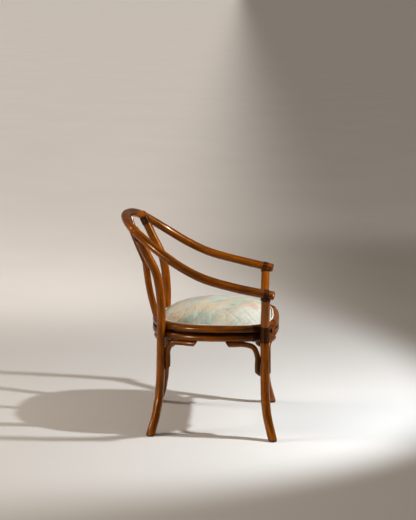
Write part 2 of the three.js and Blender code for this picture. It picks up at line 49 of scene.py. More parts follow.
def bend(points, step=0.004, closed=False):
    """Path of a bent pole: a cubic through the points with centripetal knots, cut into equal lengths."""
    points = np.asarray(points, float)
    if closed:
        points = np.vstack([points[-1], points, points[:2]])
    else:
        points = np.vstack([2 * points[0] - points[1], points, 2 * points[-1] - points[-2]])
    p0, p1, p2, p3 = points[:-3], points[1:-2], points[2:-1], points[3:]
    d0, d1, d2 = (
        np.sqrt(np.linalg.norm(b - a, axis=1))[:, None] for a, b in ((p0, p1), (p1, p2), (p2, p3)))
    m1 = ((p1 - p0) / d0 - (p2 - p0) / (d0 + d1) + (p2 - p1) / d1) * d1
    m2 = ((p2 - p1) / d1 - (p3 - p1) / (d1 + d2) + (p3 - p2) / d2) * d1
    t = np.linspace(0, 1, 60, endpoint=False)[None, :, None]
    a, b, c, d = (q[:, None, :] for q in (p1, m1, 3 * (p2 - p1) - 2 * m1 - m2, 2 * (p1 - p2) + m1 + m2))
    curve = np.vstack([(a + b * t + c * t ** 2 + d * t ** 3).reshape(-1, 3), p2[-1]])
    length = lengths_along(curve)
    even = np.linspace(0, length[-1], int(np.ceil(length[-1] / step)) + 1)
    return np.stack([np.interp(even, length, curve[:, i]) for i in range(3)], axis=1)


def lengths_along(path):
    """Distance from the start to each point of a path."""
    return np.concatenate([[0], np.cumsum(np.linalg.norm(np.diff(path, axis=0), axis=1))])


def at_length(path, s):
    """Points of a path at distances s from its start, for an array s of any shape.

    Past its ends the path is carried on straight.
    """
    length = lengths_along(path)
    inside = np.clip(s, 0, length[-1])
    point = np.stack([np.interp(inside, length, path[:, i]) for i in range(3)], axis=-1)
    first = (path[1] - path[0]) / (length[1] - length[0])
    last = (path[-1] - path[-2]) / (length[-1] - length[-2])
    return point + np.minimum(s, 0)[..., None] * first + np.maximum(s - length[-1], 0)[..., None] * last


def at_length_of(direction, length, s):
    """A direction that changes along a path, read at distances s."""
    return np.stack([np.interp(s, length, direction[:, i]) for i in range(3)], axis=-1)


def round_path(one, two, length, s, angle):
    """Directions straight out of a path: cos angle one + sin angle two, at distances s."""
    across = np.cos(angle)[None, :, None] * at_length_of(one, length, s)
    return across + np.sin(angle)[None, :, None] * at_length_of(two, length, s)


def directions(path, beside):
    """Along the path, and the two directions across it: one nearest to beside, and one square to both."""
    along = np.gradient(path, axis=0)
    along /= np.linalg.norm(along, axis=1)[:, None]
    beside = np.asarray(beside, float)
    one = beside - (along @ beside)[:, None] * along
    one /= np.linalg.norm(one, axis=1)[:, None]
    return along, one, np.cross(along, one)


def piece(name, grid, finish, node, marks=None):
    """A closed skin over a grid of points, whose columns go round, in a mesh with its marks (attributes).

    The first and last rows are closed by a fan to their middle. The skin is turned so that its volume is
    positive, which points every face outwards.
    """
    rows, around = grid.shape[:2]
    last = (rows - 1) * around
    ring, after = np.arange(around), (np.arange(around) + 1) % around
    points = np.vstack([grid.reshape(-1, 3), grid[0].mean(axis=0), grid[-1].mean(axis=0)])
    row = np.arange(rows - 1)[:, None] * around
    quads = np.stack([row + ring, row + after, row + around + after, row + around + ring], axis=-1)
    quads = quads.reshape(-1, 4)
    fans = np.vstack([
        np.stack([after, ring, np.full(around, rows * around)], axis=1),
        np.stack([last + ring, last + after, np.full(around, rows * around + 1)], axis=1),
    ])
    triangles = np.vstack([quads[:, [0, 1, 2]], quads[:, [0, 2, 3]], fans])
    corners = points[triangles]
    if np.einsum("ij,ij->i", corners[:, 0], np.cross(corners[:, 1], corners[:, 2])).sum() < 0:
        quads, fans = quads[:, ::-1], fans[:, ::-1]
    mesh = bpy.data.meshes.new(name)
    mesh.vertices.add(len(points))
    mesh.vertices.foreach_set("co", points.astype(np.float32).ravel())
    corner_count = np.concatenate([np.full(len(quads), 4), np.full(len(fans), 3)])
    mesh.loops.add(int(corner_count.sum()))
    mesh.loops.foreach_set("vertex_index", np.concatenate([quads.ravel(), fans.ravel()]).astype(np.int32))
    mesh.polygons.add(len(corner_count))
    loop_start = np.concatenate([[0], np.cumsum(corner_count)[:-1]])
    mesh.polygons.foreach_set("loop_start", loop_start.astype(np.int32))
    mesh.polygons.foreach_set("use_smooth", np.ones(len(corner_count), bool))
    for key, mark in (marks or {}).items():
        value = mark.reshape(rows * around, -1)
        value = np.vstack([value, value[:around].mean(axis=0), value[last:].mean(axis=0)])
        kind, field = ("FLOAT_VECTOR", "vector") if value.shape[1] == 3 else ("FLOAT", "value")
        mesh.attributes.new(key, kind, "POINT").data.foreach_set(field, value.astype(np.float32).ravel())
    mesh.update(calc_edges=True)
    mesh.validate()
    mesh.materials.append(finish)
    made = bpy.data.objects.new(name, mesh)
    bpy.context.scene.collection.objects.link(made)
    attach(made, "root")
    if node:
        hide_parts(node)
    return made


def pole(
    path, diameter, beside, joints=(), start=0.0, end=None, start_cut=None, end_cut=None, around=40,
    arris=0.0012,
):
    """Skin of a rattan pole, as rows along the path and columns round it, with its marks.

    A point is path(s) + r(s, angle) (cos angle one + sin angle two). The radius swells a little at each
    growth joint, has a fine groove there, and is never quite round. Each end is a flat face whose edge is
    rounded by the arris. A cut direction slants the face: s moves by -r n.cut / along.cut. The mark cane is
    (s, r cos, r sin), joint the signed distance to the nearest growth joint, and cut is 1 on the end faces
    and fades over the last few millimetres before them.
    """
    length = lengths_along(path)
    end = length[-1] if end is None else end
    along, one, two = directions(path, beside)
    angle = np.linspace(0, 2 * np.pi, around, endpoint=False)
    radius = diameter / 2
    turn = np.linspace(0, np.pi / 2, 4)
    # The rows of an end face, as shares of its radius, and those of its rounded edge
    face = np.array([0.04, 0.35, 0.7])
    edge = 1 - arris / radius * (1 - np.sin(turn))
    set_back = arris * (1 - np.cos(turn))
    body = np.linspace(0, 1, max(int((end - start) / 0.004), 6))[1:-1]
    share = np.concatenate([0 * face, 0 * turn, body, 0 * turn + 1, 0 * face + 1])
    inset = np.concatenate([0 * face, set_back, 0 * body, -set_back[::-1], 0 * face])
    scale = np.concatenate([face * edge[0], edge, 0 * body + 1, edge[::-1], face[::-1] * edge[0]])
    row = np.arange(len(share))
    on_face = (np.minimum(row, row[::-1]) <= len(face)).astype(float)[:, None]

    def slant(cut, s):
        if cut is None:
            return np.zeros(around)
        t, p, q = (np.array([np.interp(s, length, v[:, i]) for i in range(3)]) for v in (along, one, two))
        across = np.cos(angle) * (p @ cut) + np.sin(angle) * (q @ cut)
        return -radius * across / (t @ cut)

    low, high = slant(start_cut, start), slant(end_cut, end)
    s_low = start + scale[:, None] * low[None, :]
    s_high = end + scale[:, None] * high[None, :]
    s = s_low + share[:, None] * (s_high - s_low) + inset[:, None]
    joints = np.asarray(joints, float)
    away = np.full(s.shape, 0.5)
    if len(joints):
        gap = s[..., None] - joints
        nearest = np.abs(gap).argmin(axis=-1)
        away = np.take_along_axis(gap, nearest[..., None], axis=-1)[..., 0]
    wave = joints.sum() * 7 + diameter * 900 + path[0, 0] * 31
    shape = 1 + 0.024 * np.exp(-(away / 0.008) ** 2) - 0.012 * np.exp(-((away + 0.0006) / 0.0012) ** 2)
    shape += 0.007 * np.sin(s * 41 + wave) + 0.008 * np.cos(2 * angle + s * 9 + wave)
    r = radius * scale[:, None] * shape
    grid = at_length(path, s) + r[..., None] * round_path(one, two, length, s, angle)
    cane = np.stack([s, r * np.cos(angle), r * np.sin(angle)], axis=-1)
    from_end = np.minimum(s - s_low, s_high - s)
    cut = np.maximum(on_face, 0.8 * np.exp(-(from_end / 0.0045) ** 2))
    return grid, {"cane": cane, "joint": away, "cut": cut}


class Shade:
    """One value of a finish: a shader socket that can stand in a sum."""

    def __init__(self, finish, socket):
        self.finish, self.socket = finish, socket

    def sum(self, operation, first, second):
        return self.finish.node("ShaderNodeMath", {"operation": operation}, {0: first, 1: second})

    def __add__(self, other):
        return self.sum("ADD", self, other)

    def __radd__(self, other):
        return self.sum("ADD", other, self)

    def __sub__(self, other):
        return self.sum("SUBTRACT", self, other)

    def __rsub__(self, other):
        return self.sum("SUBTRACT", other, self)

    def __mul__(self, other):
        return self.sum("MULTIPLY", self, other)

    def __rmul__(self, other):
        return self.sum("MULTIPLY", other, self)

    def __abs__(self):
        return self.sum("ABSOLUTE", self, 0)


class Finish:
    """A material while it is mixed. node() adds a shader node: its settings first, then its sockets."""

    def __init__(self, name):
        self.material = bpy.data.materials.new(name)
        self.material.use_nodes = True
        self.tree = self.material.node_tree
        self.tree.nodes.clear()

    def node(self, kind, settings=None, sockets=None, out=0):
        made = self.tree.nodes.new(kind)
        for key, value in (settings or {}).items():
            if key == "stops":
                ramp = made.color_ramp
                while len(ramp.elements) < len(value):
                    ramp.elements.new(0.5)
                for element, (place, colour) in zip(ramp.elements, value):
                    element.position = place
                    element.color = (*colour, 1) if hasattr(colour, "__len__") else (*[colour] * 3, 1)
            else:
                setattr(made, key, value)
        for key, value in (sockets or {}).items():
            socket = made.inputs[key]
            if isinstance(value, Shade):
                self.tree.links.new(value.socket, socket)
            elif socket.type == "RGBA" and len(value) == 3:
                socket.default_value = (*value, 1)
            else:
                socket.default_value = value
        return Shade(self, made.outputs[out]) if made.outputs else None

    def surface(self, **sockets):
        """Closes the material with one shader, whose sockets are written with underscores."""
        sockets = {key.replace("_", " "): value for key, value in sockets.items()}
        shader = self.node("ShaderNodeBsdfPrincipled", {}, sockets)
        self.node("ShaderNodeOutputMaterial", {}, {"Surface": shader})
        return self.material


def stretched(finish, at, scales, noise_scale=1.0, detail=3.0, roughness=0.55, distortion=0.0):
    """Soft noise over coordinates that are scaled on each axis, from 0 to 1."""
    place = finish.node("ShaderNodeVectorMath", {"operation": "MULTIPLY"}, {0: at, 1: scales})
    return finish.node("ShaderNodeTexNoise", {}, {
        "Vector": place, "Scale": noise_scale, "Detail": detail, "Roughness": roughness,
        "Distortion": distortion,
    })


def ramp(finish, value, *stops):
    """A value or colour read off stops of (place, value or colour)."""
    return finish.node("ShaderNodeValToRGB", {"stops": stops}, {"Fac": value})


def mixed(finish, share, first, second, blend="MIX"):
    """One colour over another by a share."""
    sockets = {0: share, 6: first, 7: second}
    return finish.node("ShaderNodeMix", {"data_type": "RGBA", "blend_type": blend}, sockets, out=2)


def toned(colour, share):
    """A colour, darkened or lightened."""
    return tuple(share * channel for channel in colour)


def bumped(finish, height, strength, distance):
    """Fine relief from a height."""
    return finish.node("ShaderNodeBump", {}, {"Strength": strength, "Distance": distance, "Height": height})


def rattan_finish(name, honey, umber, seed=0.0, gloss=1.0):
    """Peeled rattan under amber varnish: long fibres, cloudy stain, growth joints, pored cut ends."""
    f = Finish(name)
    cane = f.node("ShaderNodeAttribute", {"attribute_name": "cane"}, out=1)
    joint = f.node("ShaderNodeAttribute", {"attribute_name": "joint"}, out=2)
    cut = f.node("ShaderNodeAttribute", {"attribute_name": "cut"}, out=2)
    shift = (seed, seed * 0.37, seed * 0.11)
    cane = f.node("ShaderNodeVectorMath", {"operation": "ADD"}, {0: cane, 1: shift})
    fibre = stretched(f, cane, (16, 620, 620), detail=4, roughness=0.65)
    thread = stretched(f, cane, (38, 1900, 1900), detail=2)
    cloud = stretched(f, cane, (9, 48, 48), detail=3, distortion=0.4)
    slow = stretched(f, cane, (3.1, 9, 9), detail=2)
    fleck = ramp(f, stretched(f, cane, (120, 1500, 1500), detail=2), (0.62, 0.0), (0.74, 1.0))
    tone = cloud * 0.60 + slow * 0.45 + fibre * 0.35
    amber = np.add(toned(honey, 0.45), toned(umber, 0.55))
    stain = ramp(f, tone, (0.52, umber), (0.70, amber), (0.86, honey))
    lines = ramp(f, fibre, (0.34, 0.62), (0.58, 1.0))
    coloured = mixed(f, 0.7, stain, lines, "MULTIPLY")
    coloured = mixed(f, fleck * 0.4, coloured, toned(umber, 0.35))
    # The scar of a leaf sheath: a thin dark line, with a faint paler band above it
    scar = ramp(f, abs(joint + (cloud - 0.5) * 0.005) * 300.0, (0.10, 1.0), (0.55, 0.0))
    pale = ramp(f, abs(joint - 0.006) * 110.0, (0.15, 1.0), (0.9, 0.0))
    coloured = mixed(f, pale * 0.15, coloured, toned(honey, 1.1))
    coloured = mixed(f, scar * 0.22, coloured, toned(umber, 0.3))
    # The cut face: stained pith with open pores
    pores = f.node("ShaderNodeTexVoronoi", {"feature": "F1"}, {
        "Vector": f.node("ShaderNodeVectorMath", {"operation": "MULTIPLY"}, {0: cane, 1: (200, 1, 1)}),
        "Scale": 1250.0,
    })
    pith = ramp(f, pores, (0.12, toned(umber, 0.3)), (0.40, np.add(toned(honey, 0.22), 0.004)))
    coloured = mixed(f, cut, coloured, pith)
    relief = fibre * 0.5 + thread * 0.25 + cloud * 0.9 - scar * 0.8
    return f.surface(
        Base_Color=coloured, Roughness=0.28 + 0.14 * fibre + 0.3 * cut, Specular_IOR_Level=0.5 * gloss,
        Specular_Tint=(1.0, 0.40, 0.05), Coat_Weight=0.4 * gloss - 0.37 * gloss * cut,
        Coat_Roughness=0.12, Coat_IOR=1.42, Normal=bumped(f, relief, 0.35, 0.0005))


tilt = np.tan(np.radians(1.7))
ring_height, ring_drop, ring_diameter = 0.406, 0.032, 0.028
ring_half_width, ring_front, ring_back = 0.208, 0.157, 0.294
# The reach at which the rings are widest
ring_widest = -0.130
splice_gap = 0.0006


def seat_outline(inset, height, count, back_inset=None):
    """Plan of the seat, tilted to the back: two half superellipses, together 416 mm wide and 451 deep.

    x = half width cos^p and y = depth sin^p, where p is 0.8 behind the widest place and 0.6667 before it.
    """
    back_inset = inset if back_inset is None else back_inset
    angle = np.pi / 2 + 2 * np.pi * np.arange(count) / count
    c, s = np.cos(angle), np.sin(angle)
    power = np.where(s > 0, 0.8, 0.6667)
    x = (ring_half_width - inset) * np.sign(c) * np.abs(c) ** power
    depth = np.where(s > 0, ring_back - back_inset, ring_front - inset)
    y = depth * np.sign(s) * np.abs(s) ** power + ring_widest
    return np.stack([x, y, height - (y - ring_widest) * tilt], axis=1)


pole_rattan = rattan_finish("varnished_rattan", (0.36, 0.084, 0.0002), (0.011, 0.0019, 0.0001))
# The rings and braces take a slightly darker copy of the varnished rattan, which is painted shade.
shaded_ring_rattan = rattan_finish("shaded_dark_rattan", (0.33, 0.075, 0.0002), (0.010, 0.0017, 0.0001), 0.4)
# The groove cane's near-black, nearly matt finish is painted shade of the groove between the rings.
painted_shade_groove_rattan = rattan_finish(
    "painted_shade_groove_rattan", (0.020, 0.005, 0.0003), (0.006, 0.0015, 0.0001), 0.8, gloss=0.05)
upper_ring = bend(seat_outline(0, ring_height, 48), 0.0035, closed=True)
lower_ring = bend(seat_outline(0, ring_height - ring_drop, 48), 0.0035, closed=True)
ring_length = lengths_along(upper_ring)[-1]
for level, path, joints in (
    ("upper", upper_ring, (0.21, 0.49, 0.80, 1.07, 1.33)),
    ("lower", lower_ring, (0.11, 0.42, 0.68, 0.93, 1.21)),
):
    grid, marks = pole(
        path, ring_diameter, (0, 0, 1), joints, start=splice_gap / 2, end=ring_length - splice_gap / 2)
    piece(f"ring_{level}", grid, shaded_ring_rattan, f"seat_ring_{level}", marks)
# The filler cane lies in the groove between the rings, outside their centre lines, and touches both
filler_diameter, filler_outset = 0.008, 0.00888
filler = bend(seat_outline(-filler_outset, ring_height - ring_drop / 2, 48), 0.004, closed=True)
grid, marks = pole(
    filler, filler_diameter, (0, 0, 1), (0.3, 0.7, 1.05), start=splice_gap / 2,
    end=lengths_along(filler)[-1] - splice_gap / 2, around=20)
piece("filler_cane", grid, painted_shade_groove_rattan, "ring_filler", marks)


# Legs. Four poles, bent outwards to the feet. The front two are Ø33 and rise past the rings to the
# arms. The rear two are Ø32 and lean back up to the hoop behind the shoulders.

cap_height = 0.006
leg_heights = np.array([0, 0.135, 0.22, 0.315, 0.41, 0.55, 0.8])
front_stand = np.array([0.2140, -0.2463, 0.4090])
rear_stand = np.array([0.1603, 0.1363, 0.3987])
front_top = np.array([0.2628, -0.2467, 0.5528])
rear_top = np.array([0.1812, 0.2360, 0.7590])


def leg_points(stand, spread, splay, lean):
    """The left leg from below the floor to the rings: its splay, times lean, at shares of its height."""
    lean = np.asarray(lean)
    below = [stand[0] + spread, stand[1] + splay, -0.0155]
    rise = np.stack([stand[0] + spread * lean, stand[1] + splay * lean, stand[2] * leg_heights], axis=1)
    return np.vstack([below, rise, stand])


front_points = np.vstack([
    leg_points(front_stand, 0.043, -0.039, [1, 0.63, 0.42, 0.28, 0.185, 0.12, 0.045]),
    front_top - [0, 0, 0.0055],
])
rise, rake = np.array([0.226, 0.559, 0.756]), np.array([0.007, 0.198, 0.548])
rear_points = np.vstack([
    leg_points(rear_stand, 0.0697, 0.031, [1, 0.53, 0.33, 0.145, 0.07, 0.01, 0]),
    rear_stand + (rear_top - rear_stand) * np.stack([rise, rake, rise], axis=1),
    rear_top - [0, 0.004, 0.0053],
])
leg_paths = {}
for side, sign in (("left", 1), ("right", -1)):
    for place, points, diameter, joints in (
        ("front", front_points, front_diameter, (0.155, 0.24, 0.47)),
        ("rear", rear_points, rear_diameter, (0.10, 0.345, 0.54, 0.70)),
    ):
        path = bend(points * [sign, 1, 1])
        leg_paths[place, side] = path
        start = np.interp(cap_height + seating_gap, path[:, 2], lengths_along(path))
        joints = np.array(joints) + (0.012 if sign > 0 else 0)
        grid, marks = pole(path, diameter, (1, 0, 0), joints, start=start, start_cut=np.array([0, 0, 1.0]))
        piece(f"{place}_leg_{side}", grid, pole_rattan, f"{place}_leg_{side}", marks)


# Arm hoop. One Ø32 pole, 1.55 m long, bent round the sitter and drawn up to the crown at the back.
# Its two ends are sawn square, rounded over at the edge and varnished.

def hoop_points():
    """Stations of the hoop: its plan is a superellipse, and its height follows shares of its rise."""
    widest, half_width, front, back, power = -0.142, 0.272, 0.277, 0.427, 2.9
    tip_reach, tip_height, crown = -0.277, 0.547, 0.789
    y = np.concatenate([[tip_reach], widest + back * np.array([0, 0.285, 0.478, 0.653, 0.787, 0.913])])
    z = tip_height + (crown - tip_height) * np.array([0, 0.11, 0.242, 0.401, 0.593, 0.756, 0.909])
    depth = np.where(y < widest, front, back)
    x = half_width * (1 - (np.abs(y - widest) / depth) ** power) ** (1 / power)
    left = np.stack([x, y, z], axis=1)
    return np.vstack([left * [-1, 1, 1], [0, widest + back, crown], left[::-1]])


hoop_path = bend(hoop_points())
hoop_joints = (0.13, 0.40, 0.66, 0.90, 1.19, 1.46)
grid, marks = pole(hoop_path, hoop_diameter, (0, 0, 1), hoop_joints, around=44, arris=0.005)
piece("hoop_pole", grid, pole_rattan, "arm_hoop", marks)


# Back splat. A Ø26 pole stands on the ring at the back, and two Ø14 canes part from it and spread
# to the crown of the hoop.

trunk_diameter, branch_diameter = 0.026, 0.014
foot, head, bow = np.array([0, 0.164, 0.3973]), np.array([0, 0.209, 0.612]), [0, 0.0055, 0]
trunk = bend([foot, (foot + head) / 2 + bow, head])
grid, marks = pole(trunk, trunk_diameter, (1, 0, 0), (0.145,), around=36)
piece("splat_trunk", grid, pole_rattan, "back_trunk", marks)
root, top = np.array([0.010, 0.202, 0.585]), np.array([0.068, 0.2754, 0.7794])
knee = root + (top - root) * [0.655, 0.463, 0.468]
for side, sign in (("left", 1), ("right", -1)):
    path = bend(np.array([root, root + 0.45 * (knee - root), knee, top]) * [sign, 1, 1])
    grid, marks = pole(path, branch_diameter, (0, 1, 0), (0.06, 0.17), around=30)
    piece(f"splat_branch_{side}", grid, pole_rattan, f"back_branch_{side}", marks)


# Braces. Eight short Ø20 poles, bent to a quarter round. One end stands against a post, the other
# runs under the lower ring, and both are sawn on a slant.

brace_diameter = 0.020
under_ring = ring_height - ring_drop - ring_diameter / 2 - brace_diameter / 2 - seating_gap
# How far below the upper ring a brace's foot is, how long its bend is, and how far it runs on under
# the rings: along the side, or across the front or the back
brace_drop, brace_bend, side_run, cross_run = 0.163, 0.040, 0.118, 0.096
# How far a brace's path starts below its foot, and the share of its length where it is sawn off
brace_overrun, brace_cut, slant = 0.008, 0.96, np.tan(np.radians(35))
# Where the left posts stand, as shares of the ring's length
front_share, rear_share = 0.6425, 0.895


def brace_path(side, place, along, run):
    """Path of a brace: beside its post up to the bend, round the corner and along under the ring."""
    sign = 1 if side == "left" else -1
    share, outward, diameter, beside_share = {
        "front": (front_share, (0.8351, -0.5501), front_diameter, 0.87),
        "rear": (rear_share, (0.7102, 0.7040), rear_diameter, 0.72),
    }[place]
    away = (diameter + brace_diameter) / 2 + seating_gap
    tangent = np.array([-outward[1], outward[0]])
    tangent *= 1 if tangent[1] * along >= 0 else -1
    lean = tangent * beside_share - np.array(outward) * np.sqrt(1 - beside_share ** 2)
    post = leg_paths[place, side]

    def beside(height):
        x, y = (np.interp(height, post[:, 2], post[:, i]) for i in (0, 1))
        return np.array([x + sign * lean[0] * away, y + lean[1] * away, height])

    def on_ring(distance):
        at = share + along * distance / ring_length
        flip = -1 if at > 1 else 1
        point = at_length(lower_ring, np.array((2 - at if at > 1 else at) * ring_length))
        height = point[2] - (ring_height - ring_drop) + under_ring
        return np.array([flip * sign * abs(point[0]), point[1], height])

    foot = ring_height - brace_drop
    bend_foot, bend_top = beside(under_ring - brace_bend), on_ring(1.6 * brace_bend)
    corner = beside(under_ring) * 0.65 + on_ring(0.75 * brace_bend) * 0.35
    middle = (bend_foot + bend_top) / 2 * 0.44 + corner * 0.56
    return bend([
        beside(foot - brace_overrun), beside((foot + under_ring - brace_bend) / 2), bend_foot, middle,
        bend_top, on_ring(0.8 * run), on_ring(1.12 * run),
    ], 0.003)


for side in ("left", "right"):
    for name, place, along, run in (
        (f"brace_front_side_{side}", "front", 1, side_run),
        (f"brace_rear_side_{side}", "rear", -1, side_run),
        (f"brace_front_{side}", "front", -1, cross_run), (f"brace_back_{side}", "rear", 1, cross_run),
    ):
        path, post = brace_path(side, place, along, run), leg_paths[place, side]
        length = lengths_along(path)
        ahead = directions(path, (1, 1, 0))[0]
        last = np.searchsorted(length, brace_cut * length[-1])
        from_post = path[0, :2] - [np.interp(path[0, 2], post[:, 2], post[:, i]) for i in (0, 1)]
        start_cut = np.array([0, 0, 1.0]) - slant * np.array([*(from_post / np.linalg.norm(from_post)), 0])
        flat = np.cross(path[-1] - path[0], (0, 0, 1.0))
        grid, marks = pole(
            path, brace_diameter, flat, (0.5 * length[-1],), start=brace_overrun,
            end=brace_cut * length[-1], start_cut=start_cut, end_cut=-ahead[last] + [0, 0, slant],
            around=32, arris=0.0008)
        piece(f"{name}_pole", grid, shaded_ring_rattan, name, marks)


# Bindings. Where a post meets the hoop or the rings, a strip of dark leather is wound round both.
# Over the hoop at the rear posts the strip is the amber peel of the cane itself, and six strips of
# darker peel cross slantwise over the rings in front of each front post.

def winding(path, middle, width, diameter, beside, strip=0.0055, thickness=0.0022, around=64):
    """Skin of a strip wound side by side round a path: a sleeve whose radius arches across each turn.

    r = radius + thickness (0.6 + 0.4 arch), where the arch is 1 - |2 f - 1|^4 and f is how far the point is
    across its turn, s / strip - angle / one turn. Both ends are drawn in to the wood.
    """
    length = lengths_along(path)
    _, one, two = directions(path, beside)
    angle = np.linspace(0, 2 * np.pi, around, endpoint=False)
    s = np.linspace(middle - width / 2, middle + width / 2, int(width / 0.0005))[:, None] + 0 * angle
    turn = s / strip - angle / (2 * np.pi)
    arch = 1 - np.abs(2 * (turn % 1) - 1) ** 4
    end = np.clip(np.minimum(s - s[0], s[-1] - s) / 0.0015, 0, 1)
    r = diameter / 2 - 0.0004 + thickness * np.sqrt(1 - (1 - end) ** 2) * (0.6 + 0.4 * arch)
    grid = at_length(path, s) + r[..., None] * round_path(one, two, length, s, angle)
    return grid, {"arch": arch}


def strip_finish(name, low, high, crease_shade):
    """A wound strip, blotched from low to high, with painted shade in the creases between its turns."""
    f = Finish(name)
    at = f.node("ShaderNodeTexCoord", {}, {}, out=3)
    arch = f.node("ShaderNodeAttribute", {"attribute_name": "arch"}, out=2)
    grain = f.node("ShaderNodeTexVoronoi", {"feature": "DISTANCE_TO_EDGE"}, {"Vector": at, "Scale": 900.0})
    patch = stretched(f, at, (1, 1, 1), 90.0, detail=4)
    blotched = ramp(f, patch, (0.3, low), (0.7, high))
    # Painted shade: the colour falls to near black where the arch is low, in the creases between turns and
    # at the edges of each lacing strip.
    colour = mixed(f, ramp(f, arch, (0.1, 1.0), (0.7, 0.0)) * 0.85, blotched, crease_shade)
    height = ramp(f, grain, (0.0, 0.0), (0.12, 1.0)) + patch
    return f.surface(
        Base_Color=colour, Roughness=0.32 + 0.2 * patch, Specular_IOR_Level=0.25,
        Specular_Tint=(1.0, 0.35, 0.05), Coat_Weight=0.12, Coat_Roughness=0.15, Coat_IOR=1.42,
        Normal=bumped(f, height, 0.4, 0.0003))


# The third colour of each strip is its painted crease shade.
leather = strip_finish(
    "wound_leather", (0.012, 0.0020, 0.0001), (0.045, 0.0080, 0.0003), (0.003, 0.0007, 0.0001))
peel = strip_finish(
    "wound_cane_peel", (0.15, 0.034, 0.0004), (0.38, 0.092, 0.0008), (0.05, 0.011, 0.0002))
lacing = strip_finish(
    "slanted_lacing", (0.07, 0.016, 0.0003), (0.27, 0.064, 0.0007), (0.012, 0.0025, 0.0001))


def reach_of(path, y):
    """Distance along the left half of the hoop where it is at reach y."""
    half = len(path) // 2
    return np.interp(-y, -path[half:, 1], lengths_along(path)[half:])


def lashing(near, far, top, bottom, width=0.0052, thickness=0.0024, around=16):
    """Skin of a strip laid slantwise over both rings, from top to bottom round their outside.

    The rings together have the outline of a stadium. The strip's middle is at the distance u along the
    rings, from near to far, and at the distance v round the stadium: on its upper circle, its straight side
    or its lower circle. A point is middle + half the width cos(angle) across + half the thickness
    sin(angle) outwards.
    """
    share = np.linspace(0, 1, 48)
    u, v = near + (far - near) * share, top + (bottom - top) * share
    half, round_them = ring_drop / 2, ring_diameter / 2 + thickness * 0.2
    high, low = np.maximum(v - half, 0) / round_them, np.minimum(v + half, 0) / round_them
    lean = high + low
    upright = np.clip(v, -half, half) + round_them * np.sin(lean)
    middle = (at_length(upper_ring, u) + at_length(lower_ring, u)) / 2
    _, _, out = directions(middle, (0, 0, 1))
    out *= np.sign(np.sum(out[:, :2] * (middle[:, :2] - [0, ring_widest]), axis=1))[:, None]
    up = np.array([0, 0, 1.0])
    line = middle + (round_them * np.cos(lean))[:, None] * out + upright[:, None] * up
    normal = np.cos(lean)[:, None] * out + np.sin(lean)[:, None] * up
    ahead = np.gradient(line, axis=0)
    ahead /= np.linalg.norm(ahead, axis=1)[:, None]
    across = np.cross(ahead, normal)
    across /= np.linalg.norm(across, axis=1)[:, None]
    angle = np.linspace(0, 2 * np.pi, around, endpoint=False)
    grid = line[:, None, :] + width / 2 * np.cos(angle)[None, :, None] * across[:, None, :]
    grid = grid + thickness / 2 * np.sin(angle)[None, :, None] * normal[:, None, :]
    return grid, {"arch": np.tile(1 - np.abs(np.cos(angle)) ** 4, (len(line), 1))}


def bound(name, node, *skins):
    """One binding: its wound strips, each with its finish, joined in one mesh."""
    parts = [
        piece(f"{name}_{number}", grid, finish, None, marks)
        for number, (finish, (grid, marks)) in enumerate(skins)
    ]
    bpy.ops.object.select_all(action="DESELECT")
    for part in parts:
        part.select_set(True)
    bpy.context.view_layer.objects.active = parts[0]
    bpy.ops.object.join()
    parts[0].name = name
    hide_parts(node)


hoop_whole = lengths_along(hoop_path)[-1]
# The reaches where the hoop lies on the posts, and the widths of the windings
arm_reach, shoulder_reach = -0.246, 0.236
arm_wrap, post_wrap, hoop_wrap, rear_wrap, seat_wrap, ring_wrap = 0.020, 0.017, 0.011, 0.030, 0.066, 0.033
# The lacing's distances from a front post, its reach round the rings, and the step between its strips
lacing_near, lacing_far, lacing_top, lacing_step = 0.017, 0.086, 0.053, 0.008
for side, sign in (("left", 1), ("right", -1)):
    arm, shoulder = reach_of(hoop_path, arm_reach), reach_of(hoop_path, shoulder_reach)
    arm, shoulder = (arm, shoulder) if sign > 0 else (hoop_whole - arm, hoop_whole - shoulder)
    front, rear = leg_paths["front", side], leg_paths["rear", side]
    front_end, rear_end = lengths_along(front)[-1], lengths_along(rear)[-1]
    bound(
        f"arm_binding_{side}", f"binding_arm_{side}",
        (leather, winding(hoop_path, arm, arm_wrap, hoop_diameter, (0, 0, 1))),
        (leather, winding(front, front_end - post_wrap / 2, post_wrap, front_diameter, (1, 0, 0))),
    )
    bound(
        f"hoop_binding_{side}", f"binding_hoop_{side}",
        (peel, winding(hoop_path, shoulder, hoop_wrap, hoop_diameter, (0, 0, 1))),
        (leather, winding(rear, rear_end - 0.016, rear_wrap, rear_diameter, (1, 0, 0))),
    )
    at_ring = np.interp(front_stand[2] - ring_drop / 2, front[:, 2], lengths_along(front))
    post = (front_share if sign > 0 else 1 - front_share) * ring_length
    behind = post + sign * front_diameter / 2
    bound(
        f"seat_binding_{side}", f"binding_seat_{side}",
        (leather, winding(front, at_ring, seat_wrap, front_diameter, (1, 0, 0))),
        (leather, winding(upper_ring, behind, ring_wrap, ring_diameter, (0, 0, 1))),
        (leather, winding(lower_ring, behind, ring_wrap, ring_diameter, (0, 0, 1))),
        *(
            (lacing, lashing(
                post - sign * (lacing_near + step), post - sign * (lacing_far + step), top, -top))
            for top in (lacing_top, -lacing_top) for step in (0.0, lacing_step, 2 * lacing_step)
        ),
    )


# Seat board. A 9 mm plywood plate lies on two rails between the rings, held by four countersunk
# screws. Only its underside shows.

